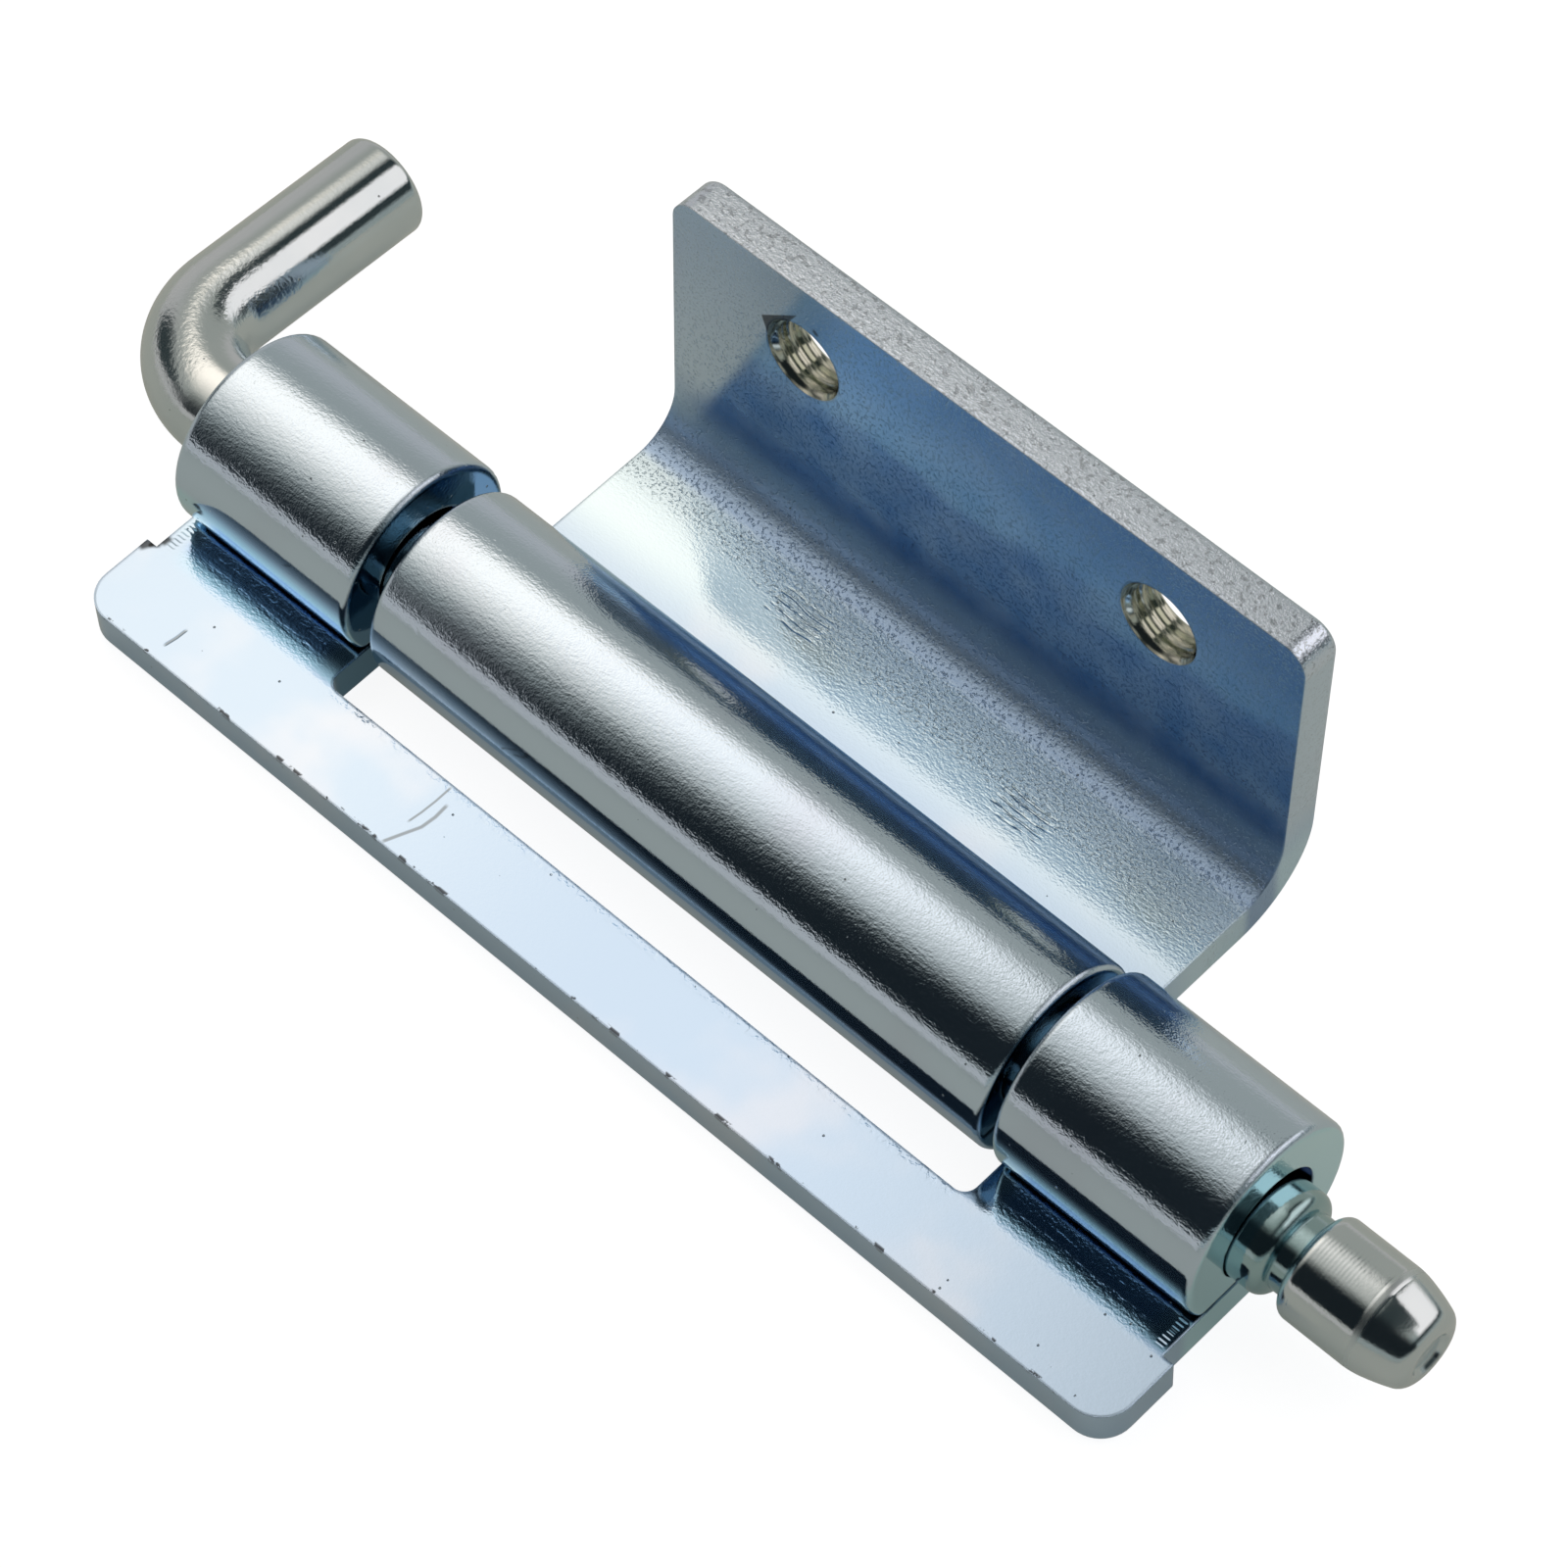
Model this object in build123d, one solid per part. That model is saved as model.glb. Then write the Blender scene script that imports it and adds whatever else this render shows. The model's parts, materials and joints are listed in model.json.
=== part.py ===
from build123d import *
from math import cos, radians, sin, sqrt
import os

# Weld-on hinge of rolled sheet steel with a pull-out pin, in millimetres.
# It lies opened flat. X runs along the pin, towards its tip, Y from the frame leaf to the
# door leaf, and Z up. The origin is the centre of the face that is welded.

# Pin, bent and turned from one wire
PIN_DIAMETER = 6.0
PIN_TIP_REACH = 10.4       # from the last knuckle to the end of the nose
PIN_SHOULDER_REACH = 1.9   # plain pin that shows before the groove
GROOVE_WIDTH = 1.1
GROOVE_DIAMETER = 4.5
NOSE_LENGTH = 2.7          # tapered nose that finds its way through the knuckles
NOSE_DIAMETER = 4.2
NOSE_ROUND = 0.8
SHOULDER_ROUND = 0.7
ARM_STANDOFF = 7.2         # from the first knuckle to the arm's own axis
ARM_LENGTH = 17.0          # from the pin's axis to the arm's cut end
ARM_DROOP = 3.5            # degrees that the arm hangs below level
ELBOW_RADIUS = 5.0         # of the wire's centre line
ARM_END_ROUND = 0.5

# Sheet and rolled knuckles
SHEET = 2.5
FRAME_CLEARANCE = 0.3      # the frame leaf's bores over the pin, in radius
DOOR_CLEARANCE = 0.1       # the door leaf's bore over the pin, in radius
PIN_SAG = 0.14             # the pin lies this far under the middle of the frame's bores
PIN_DRIFT = 0.17           # and this far from it, towards the strip
SEAM = 0.4                 # slit where the rolled edge closes on its own plate
KNUCKLE_LENGTH = 12.9      # each end knuckle
SLOT_LENGTH = 45.0         # between the two end knuckles
ROLLOVER = 0.4             # the punch draws the edges round on the sheet's outer side

# Frame leaf
STRIP_WIDTH = 5.0
STRIP_OVERHANG = 0.7       # the strip runs past the tabs at each end
EDGE_TO_KNUCKLE = 12.5     # from the strip's outer edge to the knuckles' axis
STRIP_CORNER = 2.0
SLOT_CORNER = 0.8

# Door leaf
END_PLAY = 2.4             # the door leaf is this much shorter than the slot
DOOR_SHIFT = 0.4           # it lies a little towards the pin's tip in its end play
PIN_TO_FLANGE = 16.9       # from the pin's axis to the flange's inner face, at the web
FLANGE_HEIGHT = 20.8       # from the underside to the flange's upper inner edge
FLANGE_LEAN = 3.0          # degrees that the flange leans outwards
BEND_RADIUS = 3.0          # inner radius of the bend
FLANGE_CORNER = 1.5

# Tapped holes for M5 screws
HOLE_PITCH = 24.2
HOLE_FROM_TOP = 5.4        # from the flange's upper inner edge
THREAD_CORE = 4.2
THREAD_MOUTH = 5.0         # diameter of the countersink at each mouth

# Worked out from the sizes above
pin_radius = PIN_DIAMETER / 2
frame_bore = pin_radius + FRAME_CLEARANCE
door_bore = pin_radius + DOOR_CLEARANCE
knuckle_y = EDGE_TO_KNUCKLE - STRIP_WIDTH / 2
pin_y = knuckle_y - PIN_DRIFT
pin_z = frame_bore + SHEET - PIN_SAG
tab_end = SLOT_LENGTH / 2 + KNUCKLE_LENGTH
door_length = SLOT_LENGTH - END_PLAY


def yz(y, z):
    """A point of a leaf's cross-section: y from its knuckle's axis, z from its underside."""
    return Vector(0, y, z)


def rolled_edge(bore, side):
    """A knuckle in section, rolled to the bore's radius from a plate on side -1 or 1.

    The sheet turns up around the pin from its foot under the axis, over the top and down
    again, until its cut end faces its own plate across the seam. The three parts are the
    outer skin, the cut end and the bore. Each arc is drawn through the point level with
    the axis, on the side away from the plate.
    """
    skin = bore + SHEET
    drop = bore - SEAM
    outer_end = yz(side * sqrt(skin**2 - drop**2), SHEET + SEAM)
    inner_end = yz(side * sqrt(bore**2 - drop**2), SHEET + SEAM)
    outer = ThreePointArc(yz(0, 0), yz(-side * skin, skin), outer_end)
    inner = ThreePointArc(inner_end, yz(-side * bore, skin), yz(0, SHEET))
    return [outer, Line(outer_end, inner_end), inner]


def frame_leaf():
    """Strip with a tab at each end, punched from one sheet, each tab rolled to a knuckle."""
    plate = Polyline(yz(0, SHEET), yz(-knuckle_y, SHEET), yz(-knuckle_y, 0), yz(0, 0))
    section = make_face([*rolled_edge(frame_bore, -1), plate])
    tabs = Pos(0, knuckle_y) * extrude(section, tab_end, both=True)

    past_knuckle = knuckle_y + frame_bore + SHEET
    slot = Rectangle(SLOT_LENGTH, past_knuckle, align=(Align.CENTER, Align.MIN))
    slot = fillet(slot.vertices().group_by(Axis.Y)[0], SLOT_CORNER)
    slot = extrude(Pos(0, STRIP_WIDTH / 2) * slot, 2 * past_knuckle, both=True)

    strip = Rectangle(2 * (tab_end + STRIP_OVERHANG), STRIP_WIDTH)
    strip = fillet(strip.vertices().group_by(Axis.Y)[0], STRIP_CORNER)
    leaf = tabs - slot + extrude(strip, SHEET)

    underside = leaf.faces().sort_by(Axis.Z)[0]
    outline = [e for row in underside.edges().group_by(Axis.Y)[:-1] for e in row]
    return fillet(outline, ROLLOVER)


def tapped_holes(leaf, centre, out):
    """Two holes through the flange, drilled to the thread's core and countersunk."""
    for x in (-HOLE_PITCH / 2, HOLE_PITCH / 2):
        drill = Plane(origin=centre + Vector(x, 0, 0) + out * (SHEET / 2), z_dir=out)
        leaf -= drill * Cylinder(THREAD_CORE / 2, 2 * SHEET)
    rims = leaf.edges().filter_by(lambda e: e.geom_type == GeomType.CIRCLE
                                  and abs(e.radius - THREAD_CORE / 2) < 1e-4)
    return chamfer(rims, (THREAD_MOUTH - THREAD_CORE) / 2)


def door_leaf():
    """Long knuckle, flat web and upright flange, rolled and bent from one sheet."""
    lean = radians(FLANGE_LEAN)
    up = Vector(0, sin(lean), cos(lean))
    out = Vector(0, cos(lean), -sin(lean))
    foot = yz(PIN_TO_FLANGE, SHEET)
    top = foot + up * ((FLANGE_HEIGHT - SHEET) / cos(lean))
    outer_top = top + out * SHEET
    outer_foot = outer_top - up * (outer_top.Z / cos(lean))
    inside = FilletPolyline(yz(0, SHEET), foot, top, radius=BEND_RADIUS)
    outside = FilletPolyline(outer_top, outer_foot, yz(0, 0), radius=BEND_RADIUS + SHEET)
    section = make_face([*rolled_edge(door_bore, 1), inside, Line(top, outer_top), outside])
    leaf = extrude(section, door_length / 2, both=True)

    flange_top = leaf.faces().sort_by(Axis.Z)[-1]
    corners = flange_top.edges().filter_by(Axis.X, reverse=True)
    leaf = fillet(corners, FLANGE_CORNER)
    underside = leaf.faces().sort_by(Axis.Z)[0]
    leaf = fillet(underside.edges().filter_by(Axis.Y), ROLLOVER)

    leaf = tapped_holes(leaf, top - up * HOLE_FROM_TOP, out)
    return Pos(DOOR_SHIFT, pin_y, pin_z - door_bore - SHEET) * leaf


def hinge_pin():
    """Wire bent to a handle, its free end turned to a groove and a nose."""
    shank_start = -tab_end - ARM_STANDOFF + ELBOW_RADIUS
    groove_start = tab_end + PIN_SHOULDER_REACH
    groove_end = groove_start + GROOVE_WIDTH
    tip = tab_end + PIN_TIP_REACH
    neck = GROOVE_DIAMETER / 2
    nose = NOSE_DIAMETER / 2

    outline = Polyline(
        (shank_start, 0), (shank_start, pin_radius), (groove_start, pin_radius),
        (groove_start, neck), (groove_end, neck), (groove_end, pin_radius),
        (tip - NOSE_LENGTH, pin_radius), (tip, nose), (tip, 0), close=True)
    half = make_face(outline)
    shoulders = [v for v in half.vertices() if abs(v.Y - pin_radius) < 1e-6
                 and abs(v.X - (groove_start + groove_end) / 2) < GROOVE_WIDTH]
    half = fillet(shoulders, SHOULDER_ROUND)
    nose_edge = [v for v in half.vertices() if v.Y > 1e-6 and abs(v.X - tip) < 1e-6]
    half = fillet(nose_edge, NOSE_ROUND)
    shank = revolve(half, Axis.X)

    wire_end = Plane(origin=(shank_start, 0, 0), z_dir=(-1, 0, 0)) * Circle(pin_radius)
    elbow_axis = Axis((shank_start, ELBOW_RADIUS, 0), (0, 0, -1))
    elbow = revolve(wire_end, elbow_axis, 90)
    arm_plane = Plane(origin=(shank_start - ELBOW_RADIUS, ELBOW_RADIUS, 0), z_dir=(0, 1, 0))
    arm = extrude(arm_plane * Circle(pin_radius), ARM_LENGTH - ELBOW_RADIUS)
    arm = fillet(arm.edges().group_by(Axis.Y)[-1], ARM_END_ROUND)
    pin = shank + elbow + arm
    return Pos(0, pin_y, pin_z) * Rot(-ARM_DROOP) * pin


os.makedirs("parts", exist_ok=True)
pieces = {"frame_leaf": frame_leaf, "door_leaf": door_leaf, "hinge_pin": hinge_pin}
for name, make in pieces.items():
    export_step(make(), f"parts/{name}.step")
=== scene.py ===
# %% [markdown]
# # A weld-on hinge with a pull-out pin
# The hinge lies opened flat: a frame leaf with two rolled knuckles, a door leaf with one long
# knuckle and an upright flange, and a bent pin that is pushed through all three. The solids
# come ready made, in metres, with X along the pin. This script gives them their finish, their
# small details and a studio.

# %% Load the hinge
import bmesh
import bpy
import json
import math
from mathutils import Matrix, Vector


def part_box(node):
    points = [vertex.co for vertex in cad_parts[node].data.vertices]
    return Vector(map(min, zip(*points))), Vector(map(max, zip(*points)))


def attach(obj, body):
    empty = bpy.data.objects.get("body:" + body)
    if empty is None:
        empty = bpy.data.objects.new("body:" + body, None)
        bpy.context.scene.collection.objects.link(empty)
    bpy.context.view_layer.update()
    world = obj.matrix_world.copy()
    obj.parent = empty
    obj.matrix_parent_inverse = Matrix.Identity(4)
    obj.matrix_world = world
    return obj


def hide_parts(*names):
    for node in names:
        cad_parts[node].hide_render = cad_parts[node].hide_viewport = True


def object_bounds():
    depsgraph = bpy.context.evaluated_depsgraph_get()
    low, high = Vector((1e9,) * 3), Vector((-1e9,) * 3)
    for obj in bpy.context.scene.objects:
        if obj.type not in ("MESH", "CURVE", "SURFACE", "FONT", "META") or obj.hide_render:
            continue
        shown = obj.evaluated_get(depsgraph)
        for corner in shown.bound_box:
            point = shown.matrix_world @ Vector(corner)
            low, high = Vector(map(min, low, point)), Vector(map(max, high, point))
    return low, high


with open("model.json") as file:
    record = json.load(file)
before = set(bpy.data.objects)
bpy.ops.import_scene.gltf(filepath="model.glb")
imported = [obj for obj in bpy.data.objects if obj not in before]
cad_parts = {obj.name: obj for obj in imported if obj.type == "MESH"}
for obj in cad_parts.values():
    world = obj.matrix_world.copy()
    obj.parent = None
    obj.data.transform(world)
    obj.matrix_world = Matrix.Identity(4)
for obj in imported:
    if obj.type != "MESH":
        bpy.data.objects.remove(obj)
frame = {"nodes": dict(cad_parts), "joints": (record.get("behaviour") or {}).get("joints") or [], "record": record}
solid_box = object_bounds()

MM = 0.001
hinge_joint = next(j for j in frame["joints"] if j["type"] == "hinge")
pin_axis = Vector(hinge_joint["pos_m"])
for node in ("frame_leaf", "door_leaf", "hinge_pin"):
    low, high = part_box(node)
    print(node, "measures", [round(v / MM, 2) for v in high - low], "mm")

# %% [markdown]
# The camera stands where the photographer stood: high over the free side of the strip, with a
# long lens. A camera looks along its own -Z, so its matrix is made from three directions: right,
# up and back. The small roll is the tilt of the hand-held picture.

# %% Camera
CAMERA_AZIMUTH = math.radians(46.160)
CAMERA_ELEVATION = math.radians(56.596)
CAMERA_ROLL = math.radians(-3.012)
CAMERA_DISTANCE = 0.3141
AIM = Vector((0.907, 12.404, 6.0)) * MM
FOCAL_WIDTHS = 3.9737  # focal length over the picture's width
SENSOR_MM = 36.0
NEAREST_SEEN = 0.01

level = Vector((math.cos(CAMERA_AZIMUTH), math.sin(CAMERA_AZIMUTH), 0))
back = Vector((math.sin(CAMERA_AZIMUTH) * math.cos(CAMERA_ELEVATION),
               -math.cos(CAMERA_AZIMUTH) * math.cos(CAMERA_ELEVATION),
               math.sin(CAMERA_ELEVATION)))
rise = back.cross(level)
right = level * math.cos(CAMERA_ROLL) + rise * math.sin(CAMERA_ROLL)
upward = rise * math.cos(CAMERA_ROLL) - level * math.sin(CAMERA_ROLL)
stand = AIM + back * CAMERA_DISTANCE

camera = bpy.data.objects.new("camera", bpy.data.cameras.new("camera"))
camera.data.sensor_width = SENSOR_MM
camera.data.lens = SENSOR_MM * FOCAL_WIDTHS
camera.data.clip_start = NEAREST_SEEN
axes = Matrix((right, upward, back)).transposed().to_4x4()
camera.matrix_world = Matrix.Translation(stand) @ axes
bpy.context.scene.collection.objects.link(camera)
bpy.context.scene.camera = camera
bpy.context.scene.view_settings.view_transform = "Standard"
print("camera at", [round(v / MM, 1) for v in stand], "mm, lens", round(camera.data.lens, 1))

# %% [markdown]
# A finish is a small program of nodes. Wired by hand it is a tangle, so one class wraps a
# socket and lets it stand in a Python expression: `1 - mask` adds a Math node. A second class
# adds any other node from its type, its settings and what goes into its sockets. Its short
# methods are the masks and patterns that every finish needs.

# %% Node expressions
class Wire:
    """An output socket that can be used as a number in an expression."""

    def __init__(self, tree, socket):
        self.tree = tree
        self.socket = socket

    def __add__(self, other):
        return self.tree.maths("ADD", self, other)

    def __sub__(self, other):
        return self.tree.maths("SUBTRACT", self, other)

    def __rsub__(self, other):
        return self.tree.maths("SUBTRACT", other, self)

    def __mul__(self, other):
        return self.tree.maths("MULTIPLY", self, other)

    def __truediv__(self, other):
        return self.tree.maths("DIVIDE", self, other)

    def __abs__(self):
        return self.tree.maths("ABSOLUTE", self)

    __radd__ = __add__
    __rmul__ = __mul__


class Tree:
    """The nodes of one material."""

    def __init__(self, name):
        self.material = bpy.data.materials.new(name)
        self.material.use_nodes = True
        self.nodes = self.material.node_tree.nodes
        self.links = self.material.node_tree.links
        self.nodes.clear()

    def add(self, kind, settings=None, inputs=None, out=0):
        """Adds a node, sets it, fills its sockets and returns one output, or each of a tuple."""
        node = self.nodes.new(kind)
        for key, value in (settings or {}).items():
            setattr(node, key, value)
        for key, value in (inputs or {}).items():
            if isinstance(value, Wire):
                self.links.new(value.socket, node.inputs[key])
            else:
                node.inputs[key].default_value = value
        if isinstance(out, tuple):
            return [Wire(self, node.outputs[name]) for name in out]
        return Wire(self, node.outputs[out])

    def finish(self, shader):
        """Gives the material its surface."""
        self.add("ShaderNodeOutputMaterial", None, {"Surface": shader}, out=())
        return self.material

    def maths(self, operation, *values):
        """A Math node on one or two numbers."""
        return self.add("ShaderNodeMath", {"operation": operation}, dict(enumerate(values)))

    def parts(self, vector):
        """The x, y and z of a vector."""
        return self.add("ShaderNodeSeparateXYZ", None, {0: vector}, out=(0, 1, 2))

    def ramp(self, value, low, high):
        """0 under low, 1 over high, and a smooth rise between."""
        return self.add("ShaderNodeMapRange", {"interpolation_type": "SMOOTHSTEP"},
                        {"Value": value, "From Min": low, "From Max": high})

    def fade(self, value, low, high):
        """1 under low, 0 over high, and a smooth fall between."""
        return 1 - self.ramp(value, low, high)

    def span(self, value, low, high, soft):
        """1 between low and high, fading to 0 over soft on either side."""
        begun = self.ramp(value, low - soft, low + soft)
        return begun * self.fade(value, high - soft, high + soft)

    def wave(self, value, pitch):
        """Ripples from -1 to 1, one to every pitch."""
        return self.maths("SINE", value * (2 * math.pi / pitch))

    def mix(self, share, first, second):
        """Blends two colours."""
        return self.add("ShaderNodeMix", {"data_type": "RGBA"},
                        {"Factor": share, 6: first, 7: second}, out=2)

    def noise(self, vector, scale, detail=2.0):
        """Soft noise between 0 and 1, mostly near its middle."""
        return self.add("ShaderNodeTexNoise", None,
                        {"Vector": vector, "Scale": scale, "Detail": detail})

    def millimetres(self, stretch=(1, 1, 1)):
        """The object's own coordinates in millimetres, stretched along its axes."""
        place = self.add("ShaderNodeTexCoord", out="Object")
        scale = tuple(1000 * s for s in stretch)
        return self.add("ShaderNodeMapping", None, {"Vector": place, "Scale": scale})


# %% [markdown]
# Bright plating has hardly a colour of its own: it shows the room. So the studio comes first.
# Lamps would leave small glints, where the real metal shows broad patches with borders in
# certain places. So the studio is a light tent: a dome that only the metal and the floor see,
# painted with light by two angles, along the pin and across it. Its walls are pale grey. A
# white soft box hangs overhead, a second one to the right, and a dark gap parts them. The tent
# is dark past the second box and behind a curtain at the left. A black card stands low on the
# free side, and gives the knuckles their dark stripes.

# %% Light tent's colours and forms
TENT_RADIUS = 0.5
TENT_SEGMENTS = (48, 24)
WALL = (0.40, 0.385, 0.335, 1)
WALL_LEFT = (0.53, 0.48, 0.44, 1)
WALL_RIGHT = (0.33, 0.35, 0.325, 1)
BOX = (1.33, 1.17, 1.04, 1)
BOX_LEFT = (1.58, 1.33, 1.11, 1)
SIDE_BOX = (1.16, 1.03, 0.96, 1)
CARD = (0.012, 0.016, 0.018, 1)
GAP = (0.035, 0.045, 0.045, 1)

# Degrees from straight up, positive towards the pin's nose (ALONG) and the door (ACROSS).
# Two numbers are a soft border, and three are a form's two ends and the softness of both.
BOX_ALONG = ((-48, -34), (-24, -4))
BOX_ACROSS = ((-42, 14), (22, 43))
BOX_LEAN_FROM, BOX_LEAN, BOX_LEAN_MOST = -28, 0.8, 10
BOX_STEP, BOX_STEP_ACROSS = 2.5, (15, 24)
BOX_LEFT_END = (-31, -25)
SIDE_ALONG = ((8.5, 11.5), (53.5, 56.5))
SIDE_ACROSS = (0, 75, 8)
SIDE_STEP, SIDE_STEP_ACROSS = 18, (15, 26)
GAP_ALONG = ((-15, -7), (5, 13))
GAP_ACROSS = (-60, 60, 10)
DARK_END_ALONG = (56, 76, 1.5)
DARK_END_ACROSS = (-60, 85, 5)
CURTAIN_ALONG = (-84, -56, 4)
CURTAIN_ACROSS = (-60, 12, 8)
CARD_ALONG = (-78, -70)
CARD_ACROSS = ((-80, -77), (-46, -22))
WALL_LEFT_END = (-70, -45)
WALL_RIGHT_START = (10, 60)
print("tent of radius", TENT_RADIUS, "m")


# %% Light tent
def to_angle(tree, sideways, height):
    """Degrees from straight up, positive towards the sideways axis."""
    return tree.maths("ARCTAN2", sideways, height) * math.degrees(1)


def tent_light():
    """Paints the forms over the walls, one after the other."""
    tree = Tree("tent_light")
    x, y, z = tree.parts(tree.add("ShaderNodeTexCoord", out="Object"))
    along = to_angle(tree, x, z)
    across = to_angle(tree, y, z)
    lean = tree.maths("MINIMUM", (along - BOX_LEAN_FROM) * BOX_LEAN, BOX_LEAN_MOST)
    leaning = across - lean
    box = tree.ramp(leaning, *BOX_ACROSS[0]) * tree.fade(across, *BOX_ACROSS[1])
    reach = along - BOX_STEP * tree.fade(across, *BOX_STEP_ACROSS)
    box *= tree.ramp(along, *BOX_ALONG[0]) * tree.fade(reach, *BOX_ALONG[1])
    behind = along - SIDE_STEP * tree.fade(across, *SIDE_STEP_ACROSS)
    side = tree.span(across, *SIDE_ACROSS) * tree.ramp(behind, *SIDE_ALONG[0])
    side *= tree.fade(along, *SIDE_ALONG[1])
    gap = tree.span(across, *GAP_ACROSS) * tree.ramp(behind, *GAP_ALONG[0])
    gap *= tree.fade(behind, *GAP_ALONG[1])
    dark_end = tree.span(across, *DARK_END_ACROSS) * tree.span(along, *DARK_END_ALONG)
    curtain = tree.span(across, *CURTAIN_ACROSS) * tree.span(along, *CURTAIN_ALONG)
    card = tree.ramp(across, *CARD_ACROSS[0]) * tree.fade(leaning, *CARD_ACROSS[1])
    card *= tree.ramp(along, *CARD_ALONG)
    colour = tree.mix(tree.ramp(along, *WALL_LEFT_END), WALL_LEFT, WALL)
    colour = tree.mix(tree.ramp(along, *WALL_RIGHT_START), colour, WALL_RIGHT)
    colour = tree.mix(gap, colour, GAP)
    colour = tree.mix(dark_end + curtain, colour, GAP)
    colour = tree.mix(side, colour, SIDE_BOX)
    colour = tree.mix(box, colour, tree.mix(tree.ramp(along, *BOX_LEFT_END), BOX_LEFT, BOX))
    colour = tree.mix(card, colour, CARD)
    return tree.finish(tree.add("ShaderNodeEmission", None, {"Color": colour}))


def only_by_chance(material):
    """Leaves a glowing surface that is met anyway out of the list of lamps, which saves time."""
    material.cycles.emission_sampling = "NONE"
    return material


def new_piece(name, mesh_maker, material):
    """An object at the origin whose mesh a bmesh function makes."""
    mesh = bpy.data.meshes.new(name)
    form = bmesh.new()
    mesh_maker(form)
    form.to_mesh(mesh)
    form.free()
    mesh.materials.append(material)
    piece = bpy.data.objects.new(name, mesh)
    bpy.context.scene.collection.objects.link(piece)
    return piece


def dome(form):
    bmesh.ops.create_uvsphere(form, u_segments=TENT_SEGMENTS[0], v_segments=TENT_SEGMENTS[1],
                              radius=TENT_RADIUS)


tent = new_piece("tent", dome, only_by_chance(tent_light()))
tent.visible_camera = False
tent.visible_shadow = False
print("tent painted with", len(tent.active_material.node_tree.nodes), "nodes")

# %% [markdown]
# The hinge lies on a white floor in a white room. The floor is a little light of its own and a
# little matt white, so that it renders as white and still takes the hinge's soft shadow. Over
# it lies a grey sheet that only reflections see, as the underside of real plating shows the
# grey paper that it was photographed on.

# %% Floor, paper and room
FLOOR_GLOW = 0.90
FLOOR_WHITE = (0.39, 0.42, 0.47, 1)  # a little cold, against the tent's warm light
PAPER_GREY = (0.57, 0.57, 0.52, 1)
PAPER_GLOW = (0.15, 0.152, 0.135, 1)
FLOOR_SIZE = 3.0
FLOOR_DROP = 0.02 * MM
PAPER_DROP = 0.01 * MM
ROOM_WHITE = (1, 1, 1, 1)


def glowing_matt(tree, colour, glow):
    """A matt surface with a light of its own."""
    matt = tree.add("ShaderNodeBsdfDiffuse", None, {"Color": colour})
    own_light = tree.add("ShaderNodeEmission", None, glow)
    return tree.finish(tree.add("ShaderNodeAddShader", None, {0: matt, 1: own_light}))


def floor_paint():
    """White to the camera and in reflections, though its own light falls on nothing matt."""
    tree = Tree("floor_white")
    seen = sum(tree.add("ShaderNodeLightPath", out=(
        "Is Camera Ray", "Is Glossy Ray", "Is Transmission Ray")))
    return glowing_matt(tree, FLOOR_WHITE, {"Strength": seen * FLOOR_GLOW})


def paper_paint():
    return glowing_matt(Tree("paper_grey"), PAPER_GREY, {"Color": PAPER_GLOW})


def plane_at(height):
    """A maker of a level square at a height."""
    def make(form):
        bmesh.ops.create_grid(form, x_segments=1, y_segments=1, size=FLOOR_SIZE,
                              matrix=Matrix.Translation((0, 0, height)))
    return make


ground = solid_box[0][2]
floor = new_piece("floor", plane_at(ground - FLOOR_DROP), only_by_chance(floor_paint()))
paper = new_piece("paper", plane_at(ground - PAPER_DROP), only_by_chance(paper_paint()))
paper.visible_camera = False
paper.visible_diffuse = False
paper.visible_shadow = False
paper.visible_transmission = False

world = bpy.data.worlds.new("room")
world.use_nodes = True
world.node_tree.nodes["Background"].inputs["Color"].default_value = ROOM_WHITE
world.node_tree.nodes["Background"].inputs["Strength"].default_value = 1.0
world.cycles.sampling_method = "NONE"
bpy.context.scene.world = world
print("floor at", round((ground - FLOOR_DROP) / MM, 3), "mm")

# %% [markdown]
# Blue-white zinc is a metal with a cold tint. One reflection is pale, and two, where one leaf
# mirrors the other, are the deep blue of the flange. So the plating is a fully metallic shader
# whose base colour carries the tint. A Bevel node rounds the sharp edges of the solids in the
# shading, which is how the tumbled edges catch a thin light, and a Bump node lays the grain and
# the tool marks on top. All sizes in the nodes are millimetres of the object's own coordinates,
# so that the finish stays on the metal when a leaf swings.

# %% Colours and metal of the plating
ZINC = (0.62, 0.77, 0.93, 1)
ZINC_PLATE = (0.50, 0.67, 0.88, 1)
ZINC_WARM = (0.60, 0.72, 0.88, 1)
# ZINC_BLUE and ZINC_NAVY paint the flange's deep reflection, and its shade towards the bottom.
ZINC_BLUE = (0.30, 0.53, 0.80, 1)
ZINC_NAVY = (0.105, 0.26, 0.56, 1)
# Painted shade in the slot and on the knuckles' end faces.
ZINC_SHADE = (0.16, 0.30, 0.42, 1)
# ZINC_SKY and ZINC_COBALT paint the knuckle's reflection and shade on the plate before it.
ZINC_SKY = (0.48, 0.72, 0.96, 1)
ZINC_COBALT = (0.27, 0.46, 0.88, 1)
# A pale painted reflection on the knuckles' undersides and outer ends.
ZINC_TEAL = (0.60, 0.88, 1.0, 1)
# A painted highlight for the web before the bend.
WEB_HIGHLIGHT_WHITE = (0.70, 0.89, 1.0, 1)
ZINC_EDGE = (0.72, 0.84, 1.0, 1)
# The bend's painted blue reflection of the flange.
BEND_REFLECTION_BLUE = (0.29, 0.44, 0.70, 1)
PIT_GREY = (0.16, 0.19, 0.21, 1)
# Black for chips, and for the painted shade in the torn corner's notch.
CHIP_AND_SHADE_BLACK = (0.03, 0.035, 0.04, 1)
GRAIN_DEPTH = 0.022 * MM
EDGE_ROUND = 0.22 * MM
EDGE_SAMPLES = 4


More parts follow.
